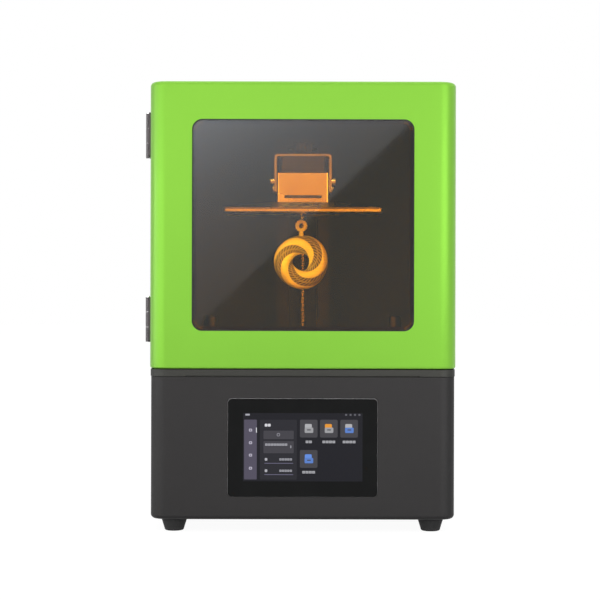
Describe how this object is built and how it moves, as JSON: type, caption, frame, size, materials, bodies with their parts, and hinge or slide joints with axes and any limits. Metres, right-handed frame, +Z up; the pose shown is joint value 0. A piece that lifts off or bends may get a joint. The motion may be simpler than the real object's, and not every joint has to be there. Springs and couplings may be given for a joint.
{
  "type": "resin printer",
  "caption": "Desktop resin printer: green hinged door with an amber window, charcoal base with a touch display, vat over a mask screen and a build plate on a lead screw.",
  "frame": {"origin": "on the floor under the middle of the cabinet", "axes": "+X to the right of someone facing the door, +Y to the back, +Z up"},
  "size_m": [0.2909, 0.2829, 0.419],
  "materials": {
    "green_paint": "satin powder coat",
    "charcoal_paint": "fine textured powder coat",
    "deck_paint": "fine textured powder coat",
    "tinted_acrylic": "polished",
    "display_glass": "polished",
    "black_rubber": "matte",
    "black_plastic": "satin",
    "black_metal": "black oxide",
    "black_anodised": "black anodised",
    "bare_steel": "ground",
    "zinc_steel": "zinc plated",
    "aluminium": "anodised",
    "brass": "machined",
    "circuit_green": "solder mask",
    "lens_clear": "polished",
    "film_clear": "clear film",
    "printed_resin": "cured resin",
    "magnet": "nickel plated"
  },
  "bodies": {
    "cabinet": {"base_shell": "charcoal_paint", "bottom_plate": "charcoal_paint", "rubber_feet": "black_rubber", "deck_plate": "deck_paint", "cabinet_wrap": "charcoal_paint", "cabinet_top": "charcoal_paint", "front_frame": "charcoal_paint", "door_gasket": "black_rubber", "magnet_catches": "magnet", "hinge_cabinet_leaf_upper": "black_metal", "hinge_cabinet_leaf_lower": "black_metal", "hinge_pins": "bare_steel", "display_glass": "display_glass", "display_module": "zinc_steel", "mask_lcd": "display_glass", "light_shroud": "black_plastic", "collimating_lens": "lens_clear", "led_board": "circuit_green", "heatsink": "aluminium", "main_board": "circuit_green", "board_standoffs": "brass", "dc_inlet": "black_plastic", "switch_body": "black_plastic", "usb_port": "zinc_steel", "fan_frame": "black_plastic", "z_column": "black_anodised", "rail_left": "bare_steel", "rail_right": "bare_steel", "top_bearing": "black_anodised", "z_motor": "black_metal", "limit_sensor": "black_plastic", "resin_vat": "aluminium", "release_film": "film_clear", "film_clamp": "aluminium"},
    "door": {"door_frame": "green_paint", "door_window": "tinted_acrylic", "window_seal": "black_rubber", "window_retainer": "black_plastic", "hinge_door_leaf_upper": "black_metal", "hinge_door_leaf_lower": "black_metal"},
    "lift": {"carriage_plate": "black_anodised", "rail_blocks": "zinc_steel", "lead_nut": "brass", "lift_arm": "black_anodised", "yoke": "bare_steel", "head_block": "aluminium", "build_plate": "aluminium", "levelling_screws": "bare_steel", "sample_print": "printed_resin"},
    "lead_screw": {"lead_screw": "bare_steel"},
    "clamp_knob": {"clamp_knob": "black_plastic"},
    "vat_knob_left": {"vat_knob_left": "bare_steel"},
    "vat_knob_right": {"vat_knob_right": "bare_steel"},
    "fan_rotor": {"fan_rotor": "black_plastic"},
    "power_rocker": {"power_rocker": "black_plastic"}
  },
  "joints": [
    {"name": "door_swing", "type": "hinge", "parent": "cabinet", "child": "door", "pos_m": [-0.14565, -0.1114, 0.2842], "axis": [0, 0, -1], "range_deg": [0, 120]},
    {"name": "z_lift", "type": "slide", "parent": "cabinet", "child": "lift", "axis": [0, 0, 1], "range_m": [-0.1465, 0.02], "deforming": ["sample_print"]},
    {"name": "lead_screw_spin", "type": "hinge", "parent": "cabinet", "child": "lead_screw", "pos_m": [0, 0.097, 0.2], "axis": [0, 0, 1], "continuous": true},
    {"name": "clamp_knob_turn", "type": "hinge", "parent": "lift", "child": "clamp_knob", "pos_m": [0, -0.02, 0.3667], "axis": [0, 0, 1], "range_deg": [0, 720]},
    {"name": "vat_knob_left_turn", "type": "hinge", "parent": "cabinet", "child": "vat_knob_left", "pos_m": [-0.092, -0.02, 0.1925], "axis": [0, 0, 1], "range_deg": [0, 720]},
    {"name": "vat_knob_right_turn", "type": "hinge", "parent": "cabinet", "child": "vat_knob_right", "pos_m": [0.092, -0.02, 0.1925], "axis": [0, 0, 1], "range_deg": [0, 720]},
    {"name": "fan_spin", "type": "hinge", "parent": "cabinet", "child": "fan_rotor", "pos_m": [0.07175, 0.13, 0.0763], "axis": [0, 1, 0], "continuous": true},
    {"name": "rocker_tip", "type": "hinge", "parent": "cabinet", "child": "power_rocker", "pos_m": [-0.09675, 0.1378, 0.0413], "axis": [1, 0, 0], "range_deg": [0, 16]}
  ],
  "couplings": [
    {"joint": "lead_screw_spin", "follows": "z_lift", "rad_per_m": -785.4}
  ]
}
